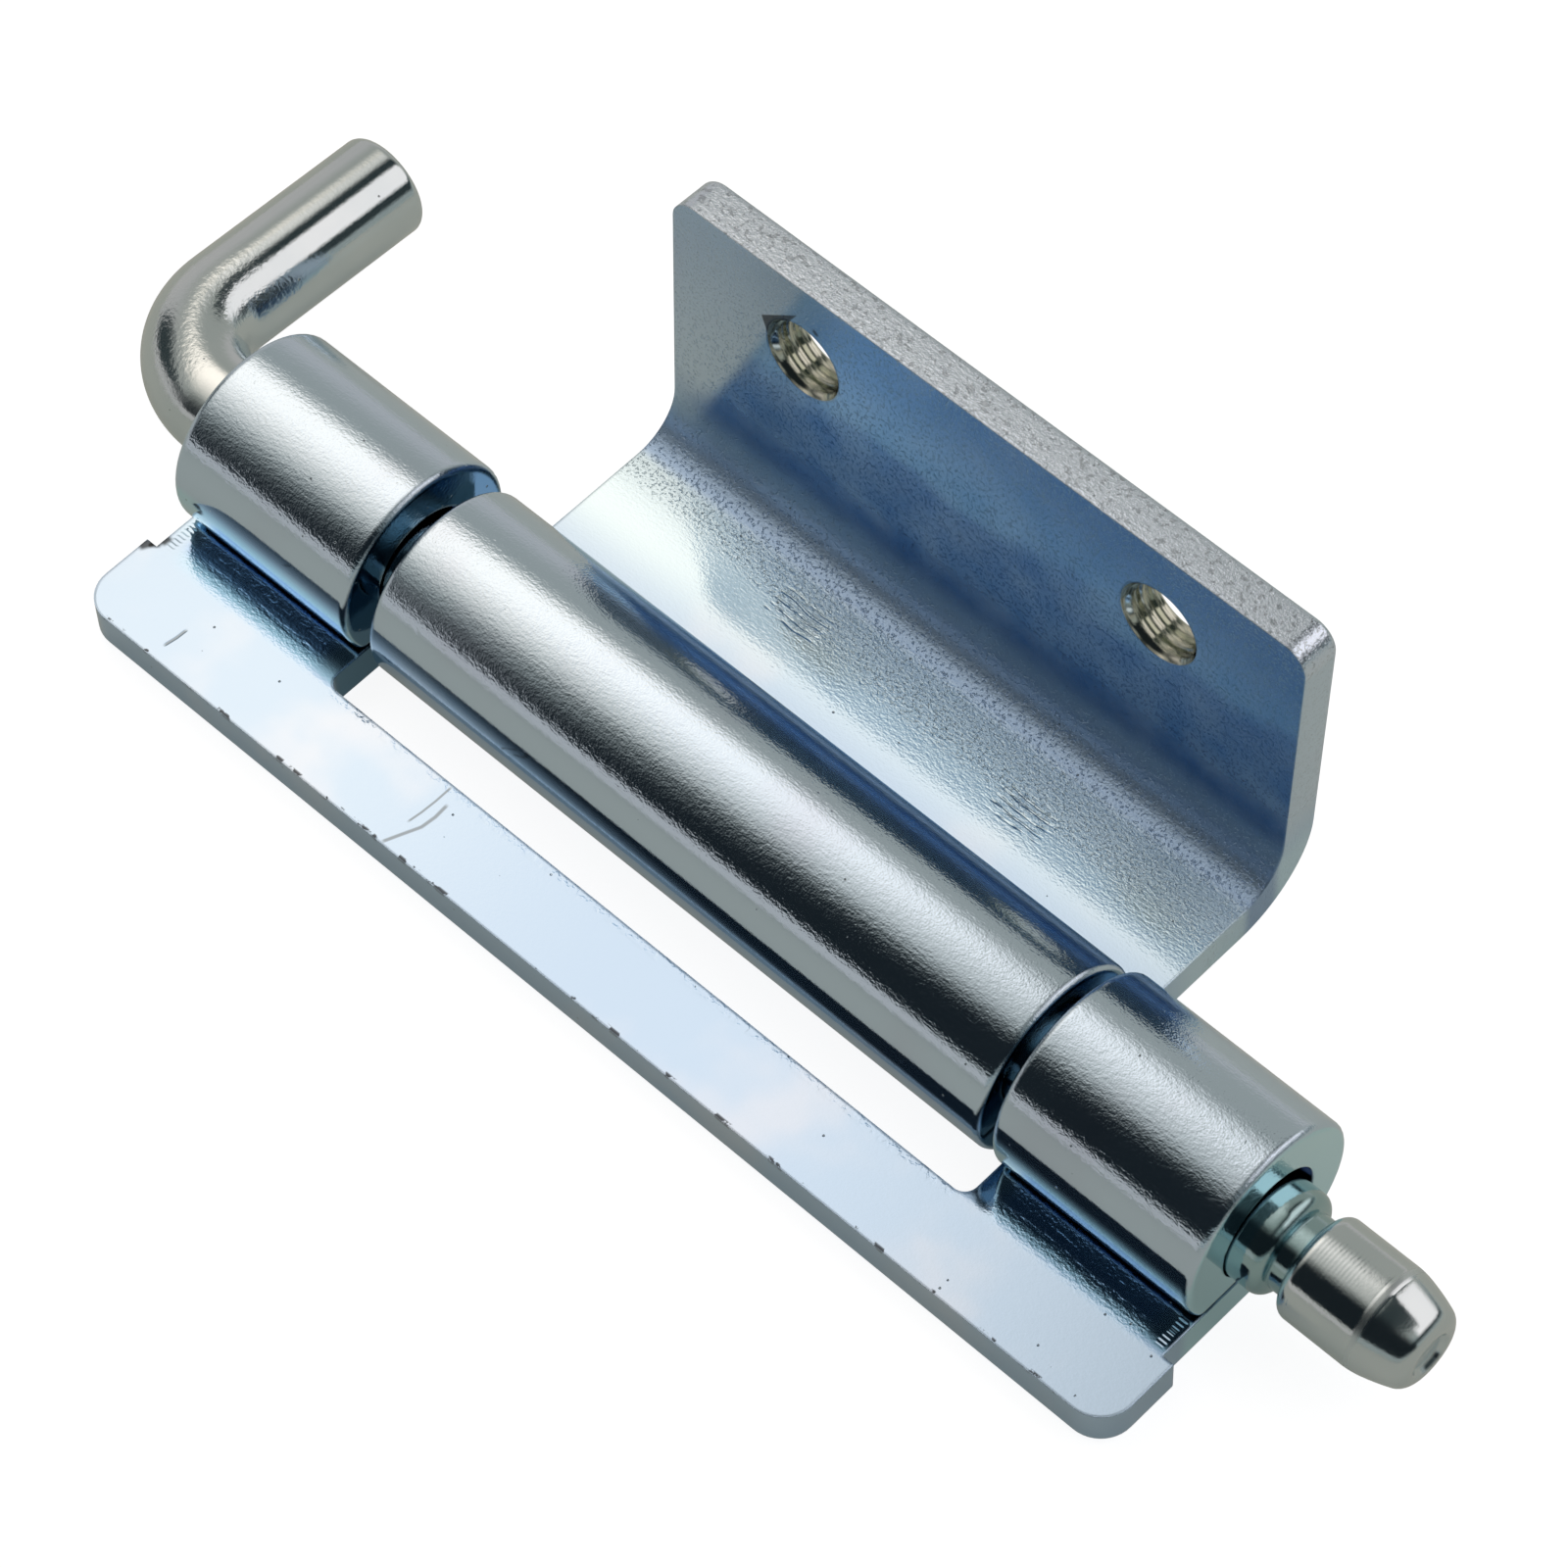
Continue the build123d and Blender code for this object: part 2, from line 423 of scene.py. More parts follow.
def plated(tree, colour, rough, relief):
    """The metal itself, with its edges rounded and its relief laid on."""
    rounded = tree.add("ShaderNodeBevel", {"samples": EDGE_SAMPLES}, {"Radius": EDGE_ROUND})
    normal = tree.add("ShaderNodeBump", None, {
        "Height": relief, "Distance": GRAIN_DEPTH, "Strength": 1.0, "Normal": rounded})
    return tree.finish(tree.add("ShaderNodeBsdfPrincipled", None, {
        "Metallic": 1.0, "Base Color": colour, "Roughness": rough, "Normal": normal}))


print("grain", GRAIN_DEPTH / MM, "mm deep, edges rounded by", EDGE_ROUND / MM, "mm")

# %% [markdown]
# Scratches, chips and pits are masks: 1 where the mark is and 0 elsewhere. A scratch could be
# painted into an image, but a few points and the distance to the line between them do the same,
# and stay sharp however near the camera comes. Pits are the middles of some cells of a cell
# pattern.

# %% Marks
STROKE_END = 0.15  # how softly a stroke ends, in millimetres
CORNER_SOFT = 0.05
PIT_RIM = (0.05, 0.13)  # in cells
CHOICE_SOFT = 0.02


def stroke(tree, u, v, start, end, width):
    """A mask along a straight line between two points, each (u, v) in millimetres."""
    run, climb = end[0] - start[0], end[1] - start[1]
    length = math.hypot(run, climb)
    along = ((u - start[0]) * run + (v - start[1]) * climb) / length
    aside = abs((v - start[1]) * run - (u - start[0]) * climb) / length
    return tree.span(along, 0, length, STROKE_END) * tree.fade(aside, width * 0.3, width)


def line_of(tree, u, v, points, width):
    """A mask along a bent line."""
    return sum(stroke(tree, u, v, a, b, width) for a, b in zip(points, points[1:]))


def corner(tree, u, v, points):
    """A mask inside a triangle, whose points go round against the clock."""
    inside = 1
    for (u0, v0), (u1, v1) in zip(points, points[1:] + points[:1]):
        length = math.hypot(u1 - u0, v1 - v0)
        inward = ((v - v0) * (u1 - u0) - (u - u0) * (v1 - v0)) / length
        inside = tree.ramp(inward, -CORNER_SOFT, CORNER_SOFT) * inside
    return inside


def pits(tree, place, scale, share):
    """Small dark pits in a share of the cells, of which there are scale to a millimetre."""
    cell, distance = tree.add("ShaderNodeTexVoronoi", None, {"Vector": place, "Scale": scale},
                              out=("Color", "Distance"))
    chosen = tree.ramp(tree.parts(cell)[0], 1 - share, 1 - share + CHOICE_SOFT)
    return chosen * tree.fade(distance, *PIT_RIM)


def facing(tree):
    """The x, y and z of the surface's own direction."""
    return tree.parts(tree.add("ShaderNodeTexCoord", out="Normal"))


print("pits with rims from", PIT_RIM[0], "to", PIT_RIM[1], "of a cell")

# %% [markdown]
# Both leaves share one recipe. The sheet was rolled along the pin, and the plating keeps that
# grain: short streaks a fifth of a millimetre wide that break up the border of every dark
# reflection. What differs is passed in as functions: where the blue is deep, where the grain is
# coarse or sandy, and which tool marks lie on the sheet.

# %% Zinc plate
STREAKS = (2.8, 5.5, 5.5)  # to the millimetre, as are the next four
SPECKLE = 9.0
CLOUDS = 0.13
SAND = 5.5
PITS = 1.6
PITTED_SHARE = 0.07
SAND_LEVEL = (0.56, 0.68)
SAND_IN_HAZE = (0.1, 0.2)
CLOUD_LEVEL = (0.5, 0.75)
PLATE_TO_KNUCKLE = (3, 7)  # heights between which the plate's colour gives way
POLISH = 0.05  # roughness of the bright metal


def zinc_plate(name, tinted, dulled, marks):
    """Plated sheet. Three functions say how it is tinted, where it is coarse or hazy, and how
    deep the tool marks are."""
    tree = Tree(name)
    place = tree.millimetres()
    height = tree.parts(place)[2]
    streaks = tree.noise(tree.millimetres(STREAKS), 1.0)
    speckle = tree.noise(place, SPECKLE, 1.0)
    clouds = tree.noise(place, CLOUDS, 3.0)
    coarse, haze = dulled(tree, place)
    sand = tree.ramp(tree.noise(place, SAND), *SAND_LEVEL) * tree.ramp(haze, *SAND_IN_HAZE)
    dots = pits(tree, place, PITS, PITTED_SHARE)
    colour = tree.mix(tree.ramp(height, *PLATE_TO_KNUCKLE), ZINC_PLATE, ZINC)
    colour = tree.mix(tree.ramp(clouds, *CLOUD_LEVEL), colour, ZINC_WARM)
    colour = tinted(tree, place, colour)
    colour = tree.mix(0.8 * dots, colour, PIT_GREY)
    rough = POLISH + 0.04 * speckle + haze
    grain = (streaks * 0.6 + speckle * 0.4) * (0.10 + coarse * 1.6)
    return plated(tree, colour, rough, grain - sand - dots - marks(tree, place))


print("streaks", round(1 / STREAKS[1], 2), "mm wide, clouds", round(1 / CLOUDS, 1), "mm")

# %% [markdown]
# The frame leaf is clean sheet with few marks: two arcs that a tool left across the strip, a
# nick near its end, a torn corner whose notch is painted dark as shade, and small chips along the
# sheared edge. In front of each knuckle the plate is hammered, and painted bluer with the
# knuckle's painted reflection and shade; the creases of the curling tool lie there. The faces that
# look at each other across the slot get painted shade, and the knuckles' undersides and outer ends
# a pale teal painted reflection.
#
# A mask for each of these is cut out of the leaf by its own coordinates: x along the pin, y
# from the strip's middle towards the door, and z up. The pairs below are soft borders in
# millimetres.

# %% Where the frame leaf differs
UPPER_FACE = (2.3, 2.7, 0.1)  # heights that hold the face of the flat sheet
CROWN = (8.4, 9.6)  # the top of a knuckle
KNUCKLE_X = (23.8, 34.0, 0.7)
KNUCKLE_FRONT = (1.9, 3.4)
KNUCKLE_FOOT = (2.6, 3.4)
COBALT_FROM = (2.9, 4.0)
UNDER_KNUCKLE_Y = (3.9, 7.0, 0.3)
UNDER_KNUCKLE_Z = (2.7, 6.4, 0.4)
END_FACING = (0.8, 0.95)  # how far a face looks along the pin
SLOT_SIDE = (23.0, 23.5)
SLOT_SHADE_FROM = (2.4, 3.0)
OUTER_END = (34.8, 35.2)
OUTER_END_FROM = (3.5, 4.5)
FIRST_ARC = ((-13.16, 2.3), (-13.15, 1.16), (-13.2, 0.22), (-13.3, -0.6))
SECOND_ARC = ((-12.54, 1.4), (-12.47, 0.5), (-12.56, -0.4), (-13.03, -1.48), (-13.4, -2.35))
NICK = ((-30.34, -0.13), (-30.37, -0.8), (-30.49, -1.53))
SCRATCH_WIDTHS = ((FIRST_ARC, 0.10), (SECOND_ARC, 0.15), (NICK, 0.09))
# The dark line at the torn corner is painted shade in its notch.
TORN_CORNER_SHADE = ((-36.1, 1.9), (-35.8, 2.45), (-35.4, 2.8), (-35.35, 3.4))
TORN_SHADE_WIDTH = 0.42
CHIPPED_EDGE = (-2.5, -2.30, 0.06)
CHIPS = 1.1  # to the millimetre
CHIP_LEVEL = (0.59, 0.63)


def hammered_and_shaded(tree, place):
    """The plate in front of each knuckle: hammered, and painted with the knuckle's reflection and shade."""
    x, y, z = tree.parts(place)
    front = tree.ramp(y, *KNUCKLE_FRONT) * tree.fade(z, *KNUCKLE_FOOT)
    return front * tree.span(abs(x), *KNUCKLE_X)


def frame_tinted(tree, place, colour):
    """Painted light and marks: the knuckle's painted reflection and shade on the plate before it, a
    pale teal painted reflection under the knuckles and on their outer ends, painted shade inside the
    slot and in the torn corner, and dark chips and scratches.
    """
    x, y, z = tree.parts(place)
    sideways = tree.ramp(abs(facing(tree)[0]), *END_FACING)
    slot_shade = sideways * tree.fade(abs(x), *SLOT_SIDE)
    outer_end_reflection = sideways * tree.ramp(abs(x), *OUTER_END) * tree.ramp(y, *OUTER_END_FROM)
    underside_reflection = tree.span(z, *UNDER_KNUCKLE_Z) * tree.span(y, *UNDER_KNUCKLE_Y)
    on_top = tree.span(z, *UPPER_FACE)
    chipped = tree.ramp(tree.noise(place, CHIPS, 4.0), *CHIP_LEVEL)
    chipped *= tree.span(y, *CHIPPED_EDGE)
    torn_shade = line_of(tree, x, y, TORN_CORNER_SHADE, TORN_SHADE_WIDTH)
    scratches = sum(line_of(tree, x, y, line, width) for line, width in SCRATCH_WIDTHS)
    # Painted reflection and shade of the knuckle, bluer on the plate before it.
    knuckle_reflection_blue = tree.mix(tree.ramp(y, *COBALT_FROM), ZINC_SKY, ZINC_COBALT)
    colour = tree.mix(hammered_and_shaded(tree, place), colour, knuckle_reflection_blue)
    # Painted pale teal reflection on the knuckles' undersides and outer end faces.
    colour = tree.mix(0.9 * underside_reflection + outer_end_reflection, colour, ZINC_TEAL)
    # Painted shade on the faces that look at each other across the slot.
    colour = tree.mix(slot_shade * tree.ramp(y, *SLOT_SHADE_FROM), colour, ZINC_SHADE)
    colour = tree.mix(0.7 * on_top * scratches, colour, PIT_GREY)
    # Dark chips along the edge, and painted shade in the torn corner's notch.
    return tree.mix(0.9 * on_top * (chipped + torn_shade), colour, CHIP_AND_SHADE_BLACK)


print("plate before the knuckles from x", KNUCKLE_X[0], "to", KNUCKLE_X[1], "mm")

# %% [markdown]
# The relief of the frame leaf follows the same places. Its grain is coarse on the knuckles'
# tops, where the sheet was stretched. The punch left a burr along the slot and fine shear lines
# at the ends of the tabs, and the two creases waver a little, because they were rolled and not
# cut.

# %% Frame leaf's finish
SLOT_EDGE = 2.5
SLOT_HALF = 22.5
BURR = (0.5, 0.2)  # its width, and how softly it ends
TAB_END = 35.4
SHEAR_X = (TAB_END - 0.8, TAB_END - 0.3, 0.1)
SHEAR_Y = (2.9, 4.9, 0.2)
SHEAR_PITCH = 0.27
CREASES = (3.45, 4.25)
CREASE_HALF = (0.05, 0.16)
CREASE_X = (SLOT_HALF + 1.8, SLOT_HALF + 11, 0.6)
CREASE_WAVER = 0.5
NICK_WIDTH = 0.12
BROKEN_LEVEL = (0.42, 0.6)


def frame_dulled(tree, place):
    """The knuckles' tops and the hammered plate before them are coarser and hazier."""
    z = tree.parts(place)[2]
    top = tree.ramp(z, *CROWN)
    plate = hammered_and_shaded(tree, place)
    return 0.56 * top + 0.4 * plate, 0.03 * top + 0.04 * plate


def frame_marks(tree, place):
    """The nick on the strip, the burr along the slot, the shear lines and the creases."""
    x, y, z = tree.parts(place)
    nick = line_of(tree, x, y, NICK, NICK_WIDTH)
    broken = tree.ramp(tree.noise(place, 1.8, 3.0), *BROKEN_LEVEL)
    burr = tree.span(y, SLOT_EDGE - BURR[0], SLOT_EDGE, BURR[1])
    burr *= tree.fade(abs(x), SLOT_HALF - 1, SLOT_HALF)
    shear_lines = tree.wave(y, SHEAR_PITCH)
    sheared = tree.span(abs(x), *SHEAR_X) * tree.span(y, *SHEAR_Y)
    waver = y + CREASE_WAVER * (tree.noise(place, 0.3) - 0.5)
    folds = sum(tree.fade(abs(waver - fold), *CREASE_HALF) for fold in CREASES)
    folds *= tree.span(abs(x), *CREASE_X)
    return tree.span(z, *UPPER_FACE) * (0.5 * nick + 0.2 * burr * broken
                                        + 0.25 * sheared * shear_lines + 0.2 * folds * broken)


frame_zinc = zinc_plate("frame_zinc", frame_tinted, frame_dulled, frame_marks)
frame_leaf = frame["nodes"]["frame_leaf"]
frame_leaf.data.materials.clear()
frame_leaf.data.materials.append(frame_zinc)
print("frame leaf", len(frame_leaf.data.polygons), "faces")

# %% [markdown]
# The door leaf was bent over a block, and the bend's stretched skin is sandy and full of
# sparkle. Inside, the flange mirrors the leaf before it, and its colour is painted the deepest
# blue as a painted reflection, darker towards the bottom as painted shade. The bend gets a painted
# blue reflection of the flange, the web before it a painted highlight, and the knuckle's end
# faces painted shade. Its upper edge is sheared, so it is pale and rough with dark flecks, and the
# drill chipped the plating at the mouth of the first hole. The turns in the holes are bare and
# warmer.

# %% Where the door leaf differs
FLANGE_Y = (25, 26)
FLANGE_TOP = (19.0, 19.6)
EDGE_FACING = (0.3, 0.6)  # how far a face looks across the pin: less is an edge
FLAT_FACING = (0.93, 0.99)  # and more is a flat side of the flange
HOLE_RIM = (6.6, 7.4)  # squared distance from a hole's axis
INNER_FACING = (0.3, 0.95)
INNER_Y = (25.0, 26.6)
BLUE_LEFT_END, BLUE_SLANT, BLUE_SLANT_FROM = (-17.6, -16.6), 0.45, 9.0
# Where the painted shade low on the flange gives way to its painted reflection.
NAVY_TOP = (11.5, 14.5)
NAVY_DRIFT = 9
DRIFT_STRETCH = (0.12, 0.3, 0.3)
KNUCKLE_BACK = (15.5, 16.5)
# Where the web gets its painted highlight.
WEB_HIGHLIGHT_Y, WEB_HIGHLIGHT_Z = (17.0, 20.5), (3.5, 6.5)
BEND_Y, BEND_Z = ((23.8, 24.6), (26.0, 26.8)), (5, 7)
FLECK_LEVEL = (0.56, 0.64)
CHIP = [(-14.62, 16.64), (-14.1, 15.3), (-12.17, 18.6)]
CHIP_DOT = ((-10.95, 18.2), (-10.8, 18.4))
CHIP_DOT_WIDTH = 0.3
THREAD_WARM = (0.64, 0.67, 0.60, 1)
holes = [m for m in frame["record"]["mounts"] if m["kind"] == "threaded_hole"]


def in_holes(tree, place):
    """The thread turns, but not the flange's flat faces beside them."""
    x, y, z = tree.parts(place)
    near = 0
    for hole in holes:
        middle = Vector(hole["pos_m"]) / MM
        away = (x - middle.x) * (x - middle.x) + (z - middle.z) * (z - middle.z)
        near = tree.fade(away, *HOLE_RIM) + near
    return near * tree.fade(abs(facing(tree)[1]), *FLAT_FACING) * tree.ramp(y, *FLANGE_Y)


def sheared_edge(tree, place):
    """The flange's upper edge with its rounded corners."""
    y, z = tree.parts(place)[1:]
    upper = tree.fade(abs(facing(tree)[1]), *EDGE_FACING) * tree.ramp(z, *FLANGE_TOP)
    return upper * tree.ramp(y, *FLANGE_Y)


def door_tinted(tree, place, colour):
    """Painted reflection and shade: deep blue inside the flange, darker towards the bottom, painted
    shade at the knuckle's ends, a painted highlight on the web and a painted reflection in the bend.
    """
    x, y, z = tree.parts(place)
    aside, outward = facing(tree)[:2]
    inner = tree.ramp(outward * -1, *INNER_FACING) * tree.ramp(y, *INNER_Y)
    reach = tree.ramp(x - (z - BLUE_SLANT_FROM) * BLUE_SLANT, *BLUE_LEFT_END)
    smoke = 0.82 + 0.9 * (tree.noise(place, 0.3, 4.0) - 0.5)
    drift = z + NAVY_DRIFT * (tree.noise(tree.millimetres(DRIFT_STRETCH), 1.0, 4.0) - 0.5)
    flange_reflection_blue = tree.mix(tree.ramp(drift, *NAVY_TOP), ZINC_NAVY, ZINC_BLUE)
    chip = inner * (corner(tree, x, z, CHIP) + stroke(tree, x, z, *CHIP_DOT, CHIP_DOT_WIDTH))
    knuckle_end_shade = tree.ramp(abs(aside), *END_FACING) * tree.fade(y, *KNUCKLE_BACK)
    web_highlight = tree.ramp(y, *WEB_HIGHLIGHT_Y) * tree.fade(z, *WEB_HIGHLIGHT_Z)
    bend_reflection = tree.ramp(y, *BEND_Y[0]) * tree.fade(y, *BEND_Y[1]) * tree.fade(z, *BEND_Z)
    edge = sheared_edge(tree, place)
    flecks = edge * tree.ramp(tree.noise(place, 3.2), *FLECK_LEVEL)
    # Painted reflection: deep blue on the flange's inside, darker towards the bottom as painted shade.
    colour = tree.mix(inner * reach * smoke, colour, flange_reflection_blue)
    # Painted shade on the knuckle's end faces.
    colour = tree.mix(knuckle_end_shade, colour, ZINC_SHADE)
    colour = tree.mix(0.85 * chip, colour, CHIP_AND_SHADE_BLACK)
    # Painted highlight on the web before the bend.
    colour = tree.mix(0.8 * web_highlight, colour, WEB_HIGHLIGHT_WHITE)
    # Painted blue reflection of the flange inside the bend.
    colour = tree.mix(0.8 * bend_reflection, colour, BEND_REFLECTION_BLUE)
    colour = tree.mix(edge, colour, ZINC_EDGE)
    colour = tree.mix(0.4 * flecks, colour, PIT_GREY)
    return tree.mix(in_holes(tree, place), colour, THREAD_WARM)


print("flange with", len(holes), "holes, deepest blue up to", NAVY_TOP[0], "mm")

# %% [markdown]
# The clamp of the bending tool left two serrated marks on the web: rows of small steps, broken
# by noise, because a clamp never bites evenly. The sandy skin of the bend begins a little later
# at the left end of the leaf, and the flange has a thin haze that the web hasn't.

# %% Door leaf's finish
CLAMP_MARKS = ((-7.4, 22.2), (9.4, 20.9))
CLAMP_HALF_X, CLAMP_SOFT_X = 1.5, 0.4
CLAMP_HALF_Y, CLAMP_SOFT_Y = 0.9, 0.3
CLAMP_PITCH = 0.42
CLAMP_STEP = (0.2, 0.9)
CLAMP_DEPTH = 2.6
CLAMP_FACE = (2.3, 2.8, 0.1)
RAGGED_STRETCH = (0.7, 3, 3)
RAGGED_LEVEL = (0.4, 0.6)
KNUCKLE_Y = (15, 16)
SKIN_Y, SKIN_Z = (18.5, 23.5), (4.5, 8.5)
SKIN_LATER, SKIN_LATER_X = 1.5, (-18, 2)
HAZE_Y = (26.0, 26.8)


def door_dulled(tree, place):
    """The knuckle's top, the web and the bend, the sheared edge, and a haze on the flange."""
    x, y, z = tree.parts(place)
    knuckle = tree.ramp(z, *CROWN) * tree.fade(y, *KNUCKLE_Y)
    begin = y - SKIN_LATER * tree.fade(x, *SKIN_LATER_X)
    bend = tree.ramp(begin, *SKIN_Y) * tree.fade(z, *SKIN_Z)
    edge = sheared_edge(tree, place)
    flange = tree.ramp(y, *HAZE_Y) * (1 - edge) * (1 - in_holes(tree, place))
    coarse = 0.02 + 0.54 * knuckle + 0.75 * bend + 0.8 * edge
    return coarse, 0.03 * knuckle + 0.27 * bend + 0.17 * edge + 0.17 * flange


def door_marks(tree, place):
    """Serrated clamp marks on the web."""
    x, y, z = tree.parts(place)
    waver = y + 0.5 * tree.noise(place, 0.5, 1.0)
    rows = tree.wave(waver, CLAMP_PITCH)
    ragged = tree.ramp(tree.noise(tree.millimetres(RAGGED_STRETCH), 1.0), *RAGGED_LEVEL)
    marks = sum(tree.span(x, cx - CLAMP_HALF_X, cx + CLAMP_HALF_X, CLAMP_SOFT_X)
                * tree.span(y, cy - CLAMP_HALF_Y, cy + CLAMP_HALF_Y, CLAMP_SOFT_Y)
                for cx, cy in CLAMP_MARKS)
    return (CLAMP_DEPTH * tree.span(z, *CLAMP_FACE) * marks * ragged
            * tree.ramp(rows, *CLAMP_STEP))


door_zinc = zinc_plate("door_zinc", door_tinted, door_dulled, door_marks)
print("door leaf's finish has", len(door_zinc.node_tree.nodes), "nodes")

# %% [markdown]
# The pin is drawn wire: smoother than the sheet and more neutral in colour. Where it comes out of
# the last knuckle, up to the end of its groove, a darker greenish teal is painted in as shade.
# The lathe left fine rings beside its groove and burnished a dull ridge where the nose begins,
# and the cold bend roughened the skin of the elbow.

# %% Pin's finish
PIN_PALE = (0.70, 0.785, 0.84, 1)
PIN_DULL = (0.60, 0.70, 0.765, 1)
# Painted shade where the pin comes out of the last knuckle.
PIN_SHADE_TEAL = (0.38, 0.55, 0.60, 1)
PIN_SPECKLE = 6.0  # to the millimetre
DRAWN = (2.5, 2.5, 5.0)
PIN_PITS = 1.5
PIN_PITTED_SHARE = 0.05
RING_PITCH = 0.22
RINGS_X = (38.8, 41.6, 0.5)
RIDGE = (42.8, 43.2)
RIDGE_SOFT = 0.12
PIN_SHADE_X = ((18, 37), (38.3, 38.6))
NOSE_X = (43.0, 43.6)
ELBOW_FROM = -37.0
ELBOW_SOFT = 2.5
ELBOW_END = (15, 19)


def bright_pin(name):
    """Drawn and turned wire, with x along the shank and y along the handle."""
    tree = Tree(name)
    place = tree.millimetres()
    x, y = tree.parts(place)[:2]
    speckle = tree.noise(place, PIN_SPECKLE)
    drawn = tree.noise(tree.millimetres(DRAWN), 1.0)
    clouds = tree.noise(place, 0.3, 3.0)
    bruised = tree.noise(place, 4.0, 3.0)
    dots = pits(tree, place, PIN_PITS, PIN_PITTED_SHARE)
    elbow = tree.fade(x, ELBOW_FROM - ELBOW_SOFT, ELBOW_FROM) * tree.fade(y, *ELBOW_END)
    rings = tree.wave(x, RING_PITCH)
    turned = tree.span(x, *RINGS_X)
    ridge = tree.span(x, *RIDGE, RIDGE_SOFT)
    knuckle_shade = tree.ramp(x, *PIN_SHADE_X[0]) * tree.fade(x, *PIN_SHADE_X[1])
    nose = tree.ramp(x, *NOSE_X)
    colour = tree.mix(clouds, PIN_PALE, PIN_DULL)
    # Painted teal shade where the pin comes out of the last knuckle.
    colour = tree.mix(knuckle_shade, colour, PIN_SHADE_TEAL)
    colour = tree.mix(0.7 * dots, colour, PIT_GREY)
    rough = POLISH + 0.05 * speckle + 0.07 * elbow + 0.05 * nose + 0.25 * ridge
    relief = speckle * 0.12 + drawn * 0.15 + 0.9 * bruised * elbow - 0.5 * dots
    relief = relief + 0.06 * turned * rings * drawn + ridge
    return plated(tree, colour, rough, relief)


pin_zinc = bright_pin("pin_zinc")
print("pin's finish has", len(pin_zinc.node_tree.nodes), "nodes")

# %% [markdown]
# The pin is modelled anew, because light runs over it in long clean lines. Half of its outline,
# a few points, is spun round its axis. The elbow is the open ring at the end of the shank spun
# once more, about the axis of the bend, and the arm is that ring drawn out. The corners of the
# groove and of the nose are bevelled, each by its own width. Face area then weighs the shading,
# so that a rounded edge doesn't bend the flat beside it.

# %% Pin
PIN_RADIUS = 2.99
SHANK_START = -37.6
SHANK_MIDDLE = -20.0
GROOVE_START, GROOVE_END, GROOVE_RADIUS = 37.3, 38.4, 2.25
GROOVE_SLOPE = 0.1
SHOULDER = 0.9  # plain shank between the last ring of points and the groove
NOSE_START = 43.1
NOSE_MIDDLE = (44.5, 2.64)
TIP = 45.8
TIP_RADIUS = 2.15
DISH_RADIUS = 1.3
DISH_DEPTH = 0.42
DISH_RIM = 0.02
PIN_BEVELS = ((GROOVE_START, PIN_RADIUS, 0.6), (GROOVE_END, PIN_RADIUS, 0.55),
              (NOSE_START, PIN_RADIUS, 0.5), (*NOSE_MIDDLE, 0.6), (TIP, TIP_RADIUS, 0.65))
PIN_BEVEL_SEGMENTS = 7
ELBOW_RADIUS = 5.0
ELBOW_STEPS = 32
ARM_LENGTH = 17.0
ARM_DROOP = math.radians(3.5)
ARM_END_BEVEL, ARM_END_SEGMENTS = 0.5, 6
ROUND_STEPS = 96
PIN_WELD = 1e-4  # points nearer than this become one
PIN_SMOOTH = 30  # degrees


def ring_edges(form, x, radius):
    """The edges of the ring at a place along the axis, before the pin is moved there."""
    near = 0.01
    return [e for e in form.edges if all(
        abs(v.co.x - x) < near and abs(v.co.yz.length - radius) < near for v in e.verts)]


def smooth_but(form, degrees):
    """Smooth shading, except over edges sharper than this."""
    for face in form.faces:
        face.smooth = True
    for edge in form.edges:
        if len(edge.link_faces) == 2 and edge.calc_face_angle(0) > math.radians(degrees):
            edge.smooth = False


def turned_shank(form):
    """The straight part of the pin, from the elbow to the dished tip."""
    outline = [(SHANK_START, PIN_RADIUS), (SHANK_MIDDLE, PIN_RADIUS),
               (GROOVE_START - SHOULDER, PIN_RADIUS), (GROOVE_START, PIN_RADIUS),
               (GROOVE_START + GROOVE_SLOPE, GROOVE_RADIUS),
               (GROOVE_END - GROOVE_SLOPE, GROOVE_RADIUS), (GROOVE_END, PIN_RADIUS),
               (NOSE_START, PIN_RADIUS), NOSE_MIDDLE, (TIP, TIP_RADIUS),
               (TIP - DISH_RIM, DISH_RADIUS), (TIP - 0.7 * DISH_DEPTH, 0.8 * DISH_RADIUS),
               (TIP - DISH_DEPTH, 0)]
    points = [form.verts.new((x, r, 0)) for x, r in outline]
    wires = [form.edges.new(pair) for pair in zip(points, points[1:])]
    bmesh.ops.spin(form, geom=points + wires, cent=(0, 0, 0), axis=(1, 0, 0),
                   angle=2 * math.pi, steps=ROUND_STEPS, use_merge=True)
    bmesh.ops.remove_doubles(form, verts=form.verts, dist=PIN_WELD)
    for x, radius, width in PIN_BEVELS:
        bmesh.ops.bevel(form, geom=ring_edges(form, x, radius), offset=width,
                        segments=PIN_BEVEL_SEGMENTS, profile=0.5, affect="EDGES", material=-1)


